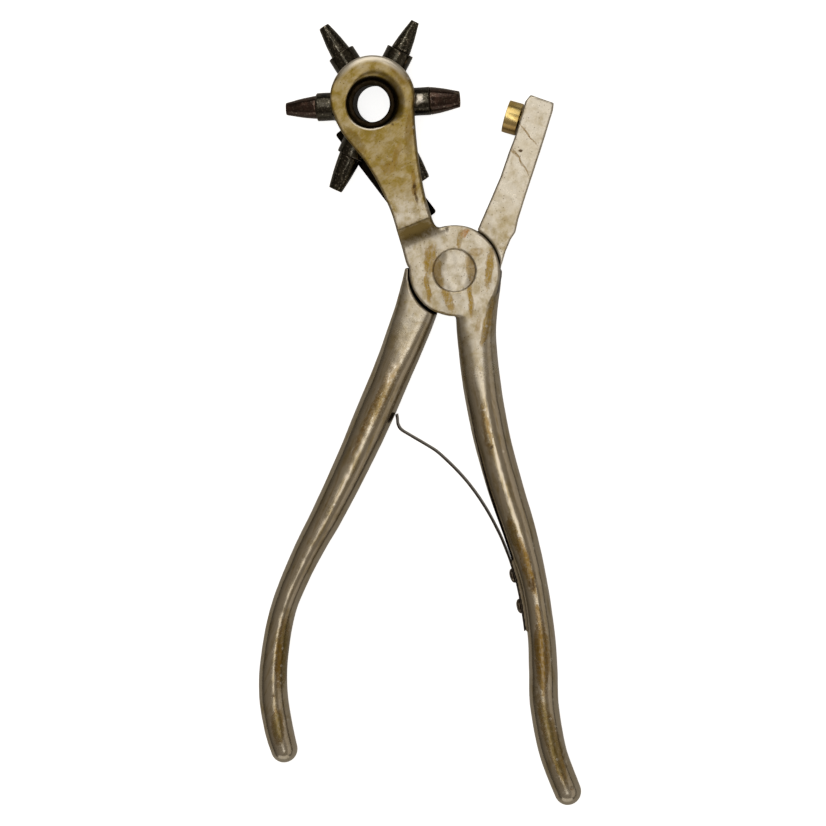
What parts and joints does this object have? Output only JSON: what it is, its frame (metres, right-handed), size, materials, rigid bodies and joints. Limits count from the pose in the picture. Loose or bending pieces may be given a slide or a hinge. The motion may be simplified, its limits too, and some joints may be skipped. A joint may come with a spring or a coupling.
{
  "type": "revolving leather punch pliers",
  "caption": "Forged nickel-plated plier punch with a revolving turret of hollow steel tubes, a hollow axle, a brass anvil button and a leaf return spring.",
  "frame": {"origin": "on the pivot's axis, in the plane of the rear face, at the middle of the pivot rivet's rear head", "axes": "+X towards the anvil arm, +Y from the handles to the jaws, +Z out of the front face; the tool lies on its back"},
  "size_m": [0.0943, 0.2276, 0.0138],
  "materials": {
    "nickel_plate": "worn nickel plate over forged steel, satin, with yellow-brown rust stains",
    "blued_steel": "black oxide, oiled and worn",
    "spring_steel": "dark tempered spring steel",
    "brass": "worn satin brass"
  },
  "bodies": {
    "punch_lever": {"punch_lever": "nickel_plate", "pivot_rivet": "nickel_plate", "axle_sleeve": "blued_steel", "axle_washer": "spring_steel", "turret_washer": "spring_steel", "index_spring": "spring_steel", "index_rivet_1": "spring_steel", "index_rivet_2": "spring_steel", "handle_spring": "spring_steel", "handle_spring_rivet_1": "spring_steel", "handle_spring_rivet_2": "spring_steel"},
    "anvil_lever": {"anvil_lever": "nickel_plate", "anvil": "brass"},
    "turret": {"turret_hub": "blued_steel", "punch_tube_1": "blued_steel", "punch_tube_2": "blued_steel", "punch_tube_3": "blued_steel", "punch_tube_4": "blued_steel", "punch_tube_5": "blued_steel", "punch_tube_6": "blued_steel"}
  },
  "joints": [
    {"name": "jaw_pivot", "type": "hinge", "parent": "punch_lever", "child": "anvil_lever", "pos_m": [0, 0, 0.0055], "axis": [0, 0, 1], "range_deg": [0, 15.5], "stiffness_Nm_per_rad": 0.8, "springref_deg": -20.05, "deforming": ["handle_spring"]},
    {"name": "turret_spin", "type": "hinge", "parent": "punch_lever", "child": "turret", "pos_m": [-0.0238, 0.0479, 0.0055], "axis": [0, 0, 1], "continuous": true}
  ]
}
